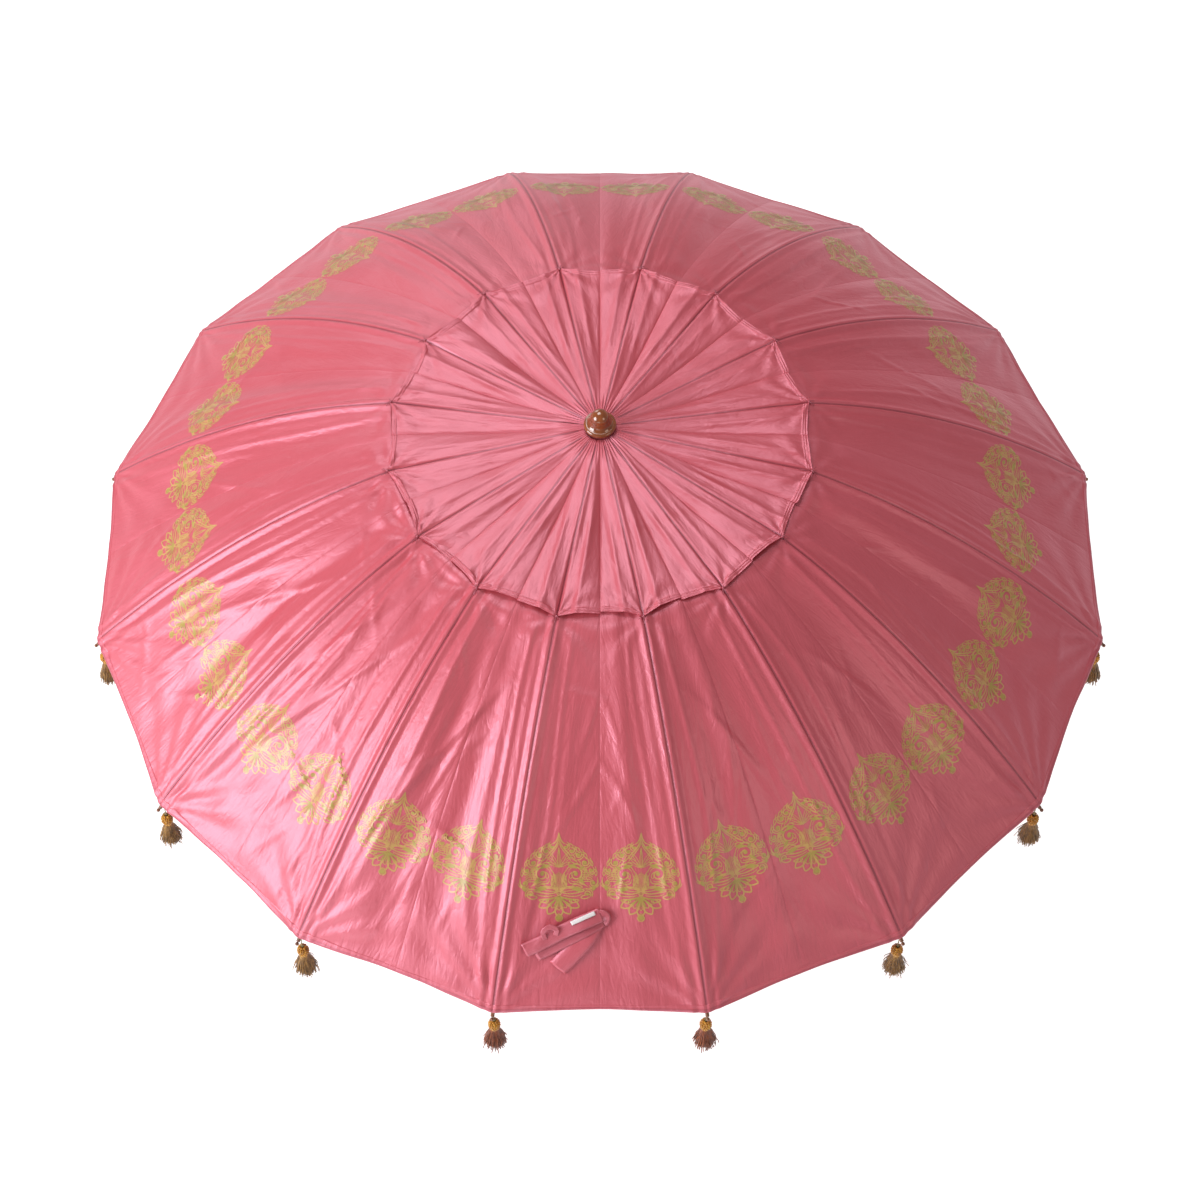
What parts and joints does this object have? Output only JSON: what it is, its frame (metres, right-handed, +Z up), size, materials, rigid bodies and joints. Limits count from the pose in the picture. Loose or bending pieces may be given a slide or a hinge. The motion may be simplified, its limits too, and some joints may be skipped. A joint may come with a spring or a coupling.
{
  "type": "parasol",
  "caption": "Vented garden parasol with a domed panelled satin canopy, folding wooden ribs and stretchers on a sliding runner, a two-piece pole, a turned finial and rib-end tassels.",
  "frame": {"origin": "bottom centre of the pole's foot, on the pole's axis", "axes": "+Z up along the pole; -Y towards the front panel, between ribs 01 and 16"},
  "size_m": [2.192, 2.192, 2.4915],
  "materials": {
    "pole_wood": "stained and varnished hardwood with fine long grain",
    "frame_wood": "brown stained and varnished wood with fine grain",
    "finial_wood": "glossy caramel-brown turned wood",
    "brass": "satin brass, slightly tarnished",
    "canopy_satin": "rose-pink satin weave with a soft sheen and an olive-gold printed damask motif",
    "strap_satin": "rose-red satin band with a blank pale label",
    "tassel_thread": "gold-brown viscose threads with a gold knotted head"
  },
  "bodies": {
    "pole_base": {"pole_lower": "pole_wood", "pole_ferrule": "brass"},
    "upper": {"pole_upper": "pole_wood", "crown_hub": "frame_wood", "crown_pins": "brass", "finial": "finial_wood", "canopy": "canopy_satin", "vent_cap": "canopy_satin", "tie_strap": "strap_satin"},
    "runner_body": {"runner": "frame_wood", "runner_pins": "brass"},
    "knob_body": {"runner_knob": "brass"},
    "rib_01_body": {"rib_01": "frame_wood"},
    "stretcher_01_body": {"stretcher_01": "frame_wood"},
    "tassel_01_body": {"tassel_01": "tassel_thread"},
    "rib_02_body": {"rib_02": "frame_wood"},
    "stretcher_02_body": {"stretcher_02": "frame_wood"},
    "tassel_02_body": {"tassel_02": "tassel_thread"},
    "rib_03_body": {"rib_03": "frame_wood"},
    "stretcher_03_body": {"stretcher_03": "frame_wood"},
    "tassel_03_body": {"tassel_03": "tassel_thread"},
    "rib_04_body": {"rib_04": "frame_wood"},
    "stretcher_04_body": {"stretcher_04": "frame_wood"},
    "tassel_04_body": {"tassel_04": "tassel_thread"},
    "rib_05_body": {"rib_05": "frame_wood"},
    "stretcher_05_body": {"stretcher_05": "frame_wood"},
    "tassel_05_body": {"tassel_05": "tassel_thread"},
    "rib_06_body": {"rib_06": "frame_wood"},
    "stretcher_06_body": {"stretcher_06": "frame_wood"},
    "tassel_06_body": {"tassel_06": "tassel_thread"},
    "rib_07_body": {"rib_07": "frame_wood"},
    "stretcher_07_body": {"stretcher_07": "frame_wood"},
    "tassel_07_body": {"tassel_07": "tassel_thread"},
    "rib_08_body": {"rib_08": "frame_wood"},
    "stretcher_08_body": {"stretcher_08": "frame_wood"},
    "tassel_08_body": {"tassel_08": "tassel_thread"},
    "rib_09_body": {"rib_09": "frame_wood"},
    "stretcher_09_body": {"stretcher_09": "frame_wood"},
    "tassel_09_body": {"tassel_09": "tassel_thread"},
    "rib_10_body": {"rib_10": "frame_wood"},
    "stretcher_10_body": {"stretcher_10": "frame_wood"},
    "tassel_10_body": {"tassel_10": "tassel_thread"},
    "rib_11_body": {"rib_11": "frame_wood"},
    "stretcher_11_body": {"stretcher_11": "frame_wood"},
    "tassel_11_body": {"tassel_11": "tassel_thread"},
    "rib_12_body": {"rib_12": "frame_wood"},
    "stretcher_12_body": {"stretcher_12": "frame_wood"},
    "tassel_12_body": {"tassel_12": "tassel_thread"},
    "rib_13_body": {"rib_13": "frame_wood"},
    "stretcher_13_body": {"stretcher_13": "frame_wood"},
    "tassel_13_body": {"tassel_13": "tassel_thread"},
    "rib_14_body": {"rib_14": "frame_wood"},
    "stretcher_14_body": {"stretcher_14": "frame_wood"},
    "tassel_14_body": {"tassel_14": "tassel_thread"},
    "rib_15_body": {"rib_15": "frame_wood"},
    "stretcher_15_body": {"stretcher_15": "frame_wood"},
    "tassel_15_body": {"tassel_15": "tassel_thread"},
    "rib_16_body": {"rib_16": "frame_wood"},
    "stretcher_16_body": {"stretcher_16": "frame_wood"},
    "tassel_16_body": {"tassel_16": "tassel_thread"}
  },
  "joints": [
    {"name": "pole_lift", "type": "slide", "parent": "pole_base", "child": "upper", "axis": [0, 0, 1], "range_m": [0, 0.07]},
    {"name": "runner_slide", "type": "slide", "parent": "upper", "child": "runner_body", "axis": [0, 0, -1], "range_m": [0, 0.59416]},
    {"name": "knob_turn", "type": "hinge", "parent": "runner_body", "child": "knob_body", "pos_m": [0.05, 0, 1.97], "axis": [1, 0, 0], "range_deg": [0, 270]},
    {"name": "rib_fold_01", "type": "hinge", "parent": "upper", "child": "rib_01_body", "pos_m": [-0.00702, -0.03531, 2.416], "axis": [0.9808, -0.1951, 0], "range_deg": [0, 64.51]},
    {"name": "stretcher_fold_01", "type": "hinge", "parent": "runner_body", "child": "stretcher_01_body", "pos_m": [-0.00702, -0.03531, 2.015], "axis": [-0.9808, 0.1951, 0], "range_deg": [0, 36.15]},
    {"name": "tassel_hang_01", "type": "hinge", "parent": "rib_01_body", "child": "tassel_01_body", "pos_m": [-0.21304, -1.07102, 1.93523], "axis": [-0.9808, 0.1951, 0], "range_deg": [0, 64.51], "deforming": ["tassel_01"]},
    {"name": "rib_fold_02", "type": "hinge", "parent": "upper", "child": "rib_02_body", "pos_m": [-0.02, -0.02993, 2.416], "axis": [0.8315, -0.5556, 0], "range_deg": [0, 64.51]},
    {"name": "stretcher_fold_02", "type": "hinge", "parent": "runner_body", "child": "stretcher_02_body", "pos_m": [-0.02, -0.02993, 2.015], "axis": [-0.8315, 0.5556, 0], "range_deg": [0, 36.15]},
    {"name": "tassel_hang_02", "type": "hinge", "parent": "rib_02_body", "child": "tassel_02_body", "pos_m": [-0.60668, -0.90796, 1.93523], "axis": [-0.8315, 0.5556, 0], "range_deg": [0, 64.51], "deforming": ["tassel_02"]},
    {"name": "rib_fold_03", "type": "hinge", "parent": "upper", "child": "rib_03_body", "pos_m": [-0.02993, -0.02, 2.416], "axis": [0.5556, -0.8315, 0], "range_deg": [0, 64.51]},
    {"name": "stretcher_fold_03", "type": "hinge", "parent": "runner_body", "child": "stretcher_03_body", "pos_m": [-0.02993, -0.02, 2.015], "axis": [-0.5556, 0.8315, 0], "range_deg": [0, 36.15]},
    {"name": "tassel_hang_03", "type": "hinge", "parent": "rib_03_body", "child": "tassel_03_body", "pos_m": [-0.90796, -0.60668, 1.93523], "axis": [-0.5556, 0.8315, 0], "range_deg": [0, 64.51], "deforming": ["tassel_03"]},
    {"name": "rib_fold_04", "type": "hinge", "parent": "upper", "child": "rib_04_body", "pos_m": [-0.03531, -0.00702, 2.416], "axis": [0.1951, -0.9808, 0], "range_deg": [0, 64.51]},
    {"name": "stretcher_fold_04", "type": "hinge", "parent": "runner_body", "child": "stretcher_04_body", "pos_m": [-0.03531, -0.00702, 2.015], "axis": [-0.1951, 0.9808, 0], "range_deg": [0, 36.15]},
    {"name": "tassel_hang_04", "type": "hinge", "parent": "rib_04_body", "child": "tassel_04_body", "pos_m": [-1.07102, -0.21304, 1.93523], "axis": [-0.1951, 0.9808, 0], "range_deg": [0, 64.51], "deforming": ["tassel_04"]},
    {"name": "rib_fold_05", "type": "hinge", "parent": "upper", "child": "rib_05_body", "pos_m": [-0.03531, 0.00702, 2.416], "axis": [-0.1951, -0.9808, 0], "range_deg": [0, 64.51]},
    {"name": "stretcher_fold_05", "type": "hinge", "parent": "runner_body", "child": "stretcher_05_body", "pos_m": [-0.03531, 0.00702, 2.015], "axis": [0.1951, 0.9808, 0], "range_deg": [0, 36.15]},
    {"name": "tassel_hang_05", "type": "hinge", "parent": "rib_05_body", "child": "tassel_05_body", "pos_m": [-1.07102, 0.21304, 1.93523], "axis": [0.1951, 0.9808, 0], "range_deg": [0, 64.51], "deforming": ["tassel_05"]},
    {"name": "rib_fold_06", "type": "hinge", "parent": "upper", "child": "rib_06_body", "pos_m": [-0.02993, 0.02, 2.416], "axis": [-0.5556, -0.8315, 0], "range_deg": [0, 64.51]},
    {"name": "stretcher_fold_06", "type": "hinge", "parent": "runner_body", "child": "stretcher_06_body", "pos_m": [-0.02993, 0.02, 2.015], "axis": [0.5556, 0.8315, 0], "range_deg": [0, 36.15]},
    {"name": "tassel_hang_06", "type": "hinge", "parent": "rib_06_body", "child": "tassel_06_body", "pos_m": [-0.90796, 0.60668, 1.93523], "axis": [0.5556, 0.8315, 0], "range_deg": [0, 64.51], "deforming": ["tassel_06"]},
    {"name": "rib_fold_07", "type": "hinge", "parent": "upper", "child": "rib_07_body", "pos_m": [-0.02, 0.02993, 2.416], "axis": [-0.8315, -0.5556, 0], "range_deg": [0, 64.51]},
    {"name": "stretcher_fold_07", "type": "hinge", "parent": "runner_body", "child": "stretcher_07_body", "pos_m": [-0.02, 0.02993, 2.015], "axis": [0.8315, 0.5556, 0], "range_deg": [0, 36.15]},
    {"name": "tassel_hang_07", "type": "hinge", "parent": "rib_07_body", "child": "tassel_07_body", "pos_m": [-0.60668, 0.90796, 1.93523], "axis": [0.8315, 0.5556, 0], "range_deg": [0, 64.51], "deforming": ["tassel_07"]},
    {"name": "rib_fold_08", "type": "hinge", "parent": "upper", "child": "rib_08_body", "pos_m": [-0.00702, 0.03531, 2.416], "axis": [-0.9808, -0.1951, 0], "range_deg": [0, 64.51]},
    {"name": "stretcher_fold_08", "type": "hinge", "parent": "runner_body", "child": "stretcher_08_body", "pos_m": [-0.00702, 0.03531, 2.015], "axis": [0.9808, 0.1951, 0], "range_deg": [0, 36.15]},
    {"name": "tassel_hang_08", "type": "hinge", "parent": "rib_08_body", "child": "tassel_08_body", "pos_m": [-0.21304, 1.07102, 1.93523], "axis": [0.9808, 0.1951, 0], "range_deg": [0, 64.51], "deforming": ["tassel_08"]},
    {"name": "rib_fold_09", "type": "hinge", "parent": "upper", "child": "rib_09_body", "pos_m": [0.00702, 0.03531, 2.416], "axis": [-0.9808, 0.1951, 0], "range_deg": [0, 64.51]},
    {"name": "stretcher_fold_09", "type": "hinge", "parent": "runner_body", "child": "stretcher_09_body", "pos_m": [0.00702, 0.03531, 2.015], "axis": [0.9808, -0.1951, 0], "range_deg": [0, 36.15]},
    {"name": "tassel_hang_09", "type": "hinge", "parent": "rib_09_body", "child": "tassel_09_body", "pos_m": [0.21304, 1.07102, 1.93523], "axis": [0.9808, -0.1951, 0], "range_deg": [0, 64.51], "deforming": ["tassel_09"]},
    {"name": "rib_fold_10", "type": "hinge", "parent": "upper", "child": "rib_10_body", "pos_m": [0.02, 0.02993, 2.416], "axis": [-0.8315, 0.5556, 0], "range_deg": [0, 64.51]},
    {"name": "stretcher_fold_10", "type": "hinge", "parent": "runner_body", "child": "stretcher_10_body", "pos_m": [0.02, 0.02993, 2.015], "axis": [0.8315, -0.5556, 0], "range_deg": [0, 36.15]},
    {"name": "tassel_hang_10", "type": "hinge", "parent": "rib_10_body", "child": "tassel_10_body", "pos_m": [0.60668, 0.90796, 1.93523], "axis": [0.8315, -0.5556, 0], "range_deg": [0, 64.51], "deforming": ["tassel_10"]},
    {"name": "rib_fold_11", "type": "hinge", "parent": "upper", "child": "rib_11_body", "pos_m": [0.02993, 0.02, 2.416], "axis": [-0.5556, 0.8315, 0], "range_deg": [0, 64.51]},
    {"name": "stretcher_fold_11", "type": "hinge", "parent": "runner_body", "child": "stretcher_11_body", "pos_m": [0.02993, 0.02, 2.015], "axis": [0.5556, -0.8315, 0], "range_deg": [0, 36.15]},
    {"name": "tassel_hang_11", "type": "hinge", "parent": "rib_11_body", "child": "tassel_11_body", "pos_m": [0.90796, 0.60668, 1.93523], "axis": [0.5556, -0.8315, 0], "range_deg": [0, 64.51], "deforming": ["tassel_11"]},
    {"name": "rib_fold_12", "type": "hinge", "parent": "upper", "child": "rib_12_body", "pos_m": [0.03531, 0.00702, 2.416], "axis": [-0.1951, 0.9808, 0], "range_deg": [0, 64.51]},
    {"name": "stretcher_fold_12", "type": "hinge", "parent": "runner_body", "child": "stretcher_12_body", "pos_m": [0.03531, 0.00702, 2.015], "axis": [0.1951, -0.9808, 0], "range_deg": [0, 36.15]},
    {"name": "tassel_hang_12", "type": "hinge", "parent": "rib_12_body", "child": "tassel_12_body", "pos_m": [1.07102, 0.21304, 1.93523], "axis": [0.1951, -0.9808, 0], "range_deg": [0, 64.51], "deforming": ["tassel_12"]},
    {"name": "rib_fold_13", "type": "hinge", "parent": "upper", "child": "rib_13_body", "pos_m": [0.03531, -0.00702, 2.416], "axis": [0.1951, 0.9808, 0], "range_deg": [0, 64.51]},
    {"name": "stretcher_fold_13", "type": "hinge", "parent": "runner_body", "child": "stretcher_13_body", "pos_m": [0.03531, -0.00702, 2.015], "axis": [-0.1951, -0.9808, 0], "range_deg": [0, 36.15]},
    {"name": "tassel_hang_13", "type": "hinge", "parent": "rib_13_body", "child": "tassel_13_body", "pos_m": [1.07102, -0.21304, 1.93523], "axis": [-0.1951, -0.9808, 0], "range_deg": [0, 64.51], "deforming": ["tassel_13"]},
    {"name": "rib_fold_14", "type": "hinge", "parent": "upper", "child": "rib_14_body", "pos_m": [0.02993, -0.02, 2.416], "axis": [0.5556, 0.8315, 0], "range_deg": [0, 64.51]},
    {"name": "stretcher_fold_14", "type": "hinge", "parent": "runner_body", "child": "stretcher_14_body", "pos_m": [0.02993, -0.02, 2.015], "axis": [-0.5556, -0.8315, 0], "range_deg": [0, 36.15]},
    {"name": "tassel_hang_14", "type": "hinge", "parent": "rib_14_body", "child": "tassel_14_body", "pos_m": [0.90796, -0.60668, 1.93523], "axis": [-0.5556, -0.8315, 0], "range_deg": [0, 64.51], "deforming": ["tassel_14"]},
    {"name": "rib_fold_15", "type": "hinge", "parent": "upper", "child": "rib_15_body", "pos_m": [0.02, -0.02993, 2.416], "axis": [0.8315, 0.5556, 0], "range_deg": [0, 64.51]},
    {"name": "stretcher_fold_15", "type": "hinge", "parent": "runner_body", "child": "stretcher_15_body", "pos_m": [0.02, -0.02993, 2.015], "axis": [-0.8315, -0.5556, 0], "range_deg": [0, 36.15]},
    {"name": "tassel_hang_15", "type": "hinge", "parent": "rib_15_body", "child": "tassel_15_body", "pos_m": [0.60668, -0.90796, 1.93523], "axis": [-0.8315, -0.5556, 0], "range_deg": [0, 64.51], "deforming": ["tassel_15"]},
    {"name": "rib_fold_16", "type": "hinge", "parent": "upper", "child": "rib_16_body", "pos_m": [0.00702, -0.03531, 2.416], "axis": [0.9808, 0.1951, 0], "range_deg": [0, 64.51]},
    {"name": "stretcher_fold_16", "type": "hinge", "parent": "runner_body", "child": "stretcher_16_body", "pos_m": [0.00702, -0.03531, 2.015], "axis": [-0.9808, -0.1951, 0], "range_deg": [0, 36.15]},
    {"name": "tassel_hang_16", "type": "hinge", "parent": "rib_16_body", "child": "tassel_16_body", "pos_m": [0.21304, -1.07102, 1.93523], "axis": [-0.9808, -0.1951, 0], "range_deg": [0, 64.51], "deforming": ["tassel_16"]}
  ],
  "couplings": [
    {"joint": "rib_fold_01", "follows": "runner_slide", "rad_per_m": 1.8947},
    {"joint": "stretcher_fold_01", "follows": "runner_slide", "rad_per_m": 1.0616},
    {"joint": "tassel_hang_01", "follows": "runner_slide", "rad_per_m": 1.8947},
    {"joint": "rib_fold_02", "follows": "runner_slide", "rad_per_m": 1.8947},
    {"joint": "stretcher_fold_02", "follows": "runner_slide", "rad_per_m": 1.0616},
    {"joint": "tassel_hang_02", "follows": "runner_slide", "rad_per_m": 1.8947},
    {"joint": "rib_fold_03", "follows": "runner_slide", "rad_per_m": 1.8947},
    {"joint": "stretcher_fold_03", "follows": "runner_slide", "rad_per_m": 1.0616},
    {"joint": "tassel_hang_03", "follows": "runner_slide", "rad_per_m": 1.8947},
    {"joint": "rib_fold_04", "follows": "runner_slide", "rad_per_m": 1.8947},
    {"joint": "stretcher_fold_04", "follows": "runner_slide", "rad_per_m": 1.0616},
    {"joint": "tassel_hang_04", "follows": "runner_slide", "rad_per_m": 1.8947},
    {"joint": "rib_fold_05", "follows": "runner_slide", "rad_per_m": 1.8947},
    {"joint": "stretcher_fold_05", "follows": "runner_slide", "rad_per_m": 1.0616},
    {"joint": "tassel_hang_05", "follows": "runner_slide", "rad_per_m": 1.8947},
    {"joint": "rib_fold_06", "follows": "runner_slide", "rad_per_m": 1.8947},
    {"joint": "stretcher_fold_06", "follows": "runner_slide", "rad_per_m": 1.0616},
    {"joint": "tassel_hang_06", "follows": "runner_slide", "rad_per_m": 1.8947},
    {"joint": "rib_fold_07", "follows": "runner_slide", "rad_per_m": 1.8947},
    {"joint": "stretcher_fold_07", "follows": "runner_slide", "rad_per_m": 1.0616},
    {"joint": "tassel_hang_07", "follows": "runner_slide", "rad_per_m": 1.8947},
    {"joint": "rib_fold_08", "follows": "runner_slide", "rad_per_m": 1.8947},
    {"joint": "stretcher_fold_08", "follows": "runner_slide", "rad_per_m": 1.0616},
    {"joint": "tassel_hang_08", "follows": "runner_slide", "rad_per_m": 1.8947},
    {"joint": "rib_fold_09", "follows": "runner_slide", "rad_per_m": 1.8947},
    {"joint": "stretcher_fold_09", "follows": "runner_slide", "rad_per_m": 1.0616},
    {"joint": "tassel_hang_09", "follows": "runner_slide", "rad_per_m": 1.8947},
    {"joint": "rib_fold_10", "follows": "runner_slide", "rad_per_m": 1.8947},
    {"joint": "stretcher_fold_10", "follows": "runner_slide", "rad_per_m": 1.0616},
    {"joint": "tassel_hang_10", "follows": "runner_slide", "rad_per_m": 1.8947},
    {"joint": "rib_fold_11", "follows": "runner_slide", "rad_per_m": 1.8947},
    {"joint": "stretcher_fold_11", "follows": "runner_slide", "rad_per_m": 1.0616},
    {"joint": "tassel_hang_11", "follows": "runner_slide", "rad_per_m": 1.8947},
    {"joint": "rib_fold_12", "follows": "runner_slide", "rad_per_m": 1.8947},
    {"joint": "stretcher_fold_12", "follows": "runner_slide", "rad_per_m": 1.0616},
    {"joint": "tassel_hang_12", "follows": "runner_slide", "rad_per_m": 1.8947},
    {"joint": "rib_fold_13", "follows": "runner_slide", "rad_per_m": 1.8947},
    {"joint": "stretcher_fold_13", "follows": "runner_slide", "rad_per_m": 1.0616},
    {"joint": "tassel_hang_13", "follows": "runner_slide", "rad_per_m": 1.8947},
    {"joint": "rib_fold_14", "follows": "runner_slide", "rad_per_m": 1.8947},
    {"joint": "stretcher_fold_14", "follows": "runner_slide", "rad_per_m": 1.0616},
    {"joint": "tassel_hang_14", "follows": "runner_slide", "rad_per_m": 1.8947},
    {"joint": "rib_fold_15", "follows": "runner_slide", "rad_per_m": 1.8947},
    {"joint": "stretcher_fold_15", "follows": "runner_slide", "rad_per_m": 1.0616},
    {"joint": "tassel_hang_15", "follows": "runner_slide", "rad_per_m": 1.8947},
    {"joint": "rib_fold_16", "follows": "runner_slide", "rad_per_m": 1.8947},
    {"joint": "stretcher_fold_16", "follows": "runner_slide", "rad_per_m": 1.0616},
    {"joint": "tassel_hang_16", "follows": "runner_slide", "rad_per_m": 1.8947}
  ]
}
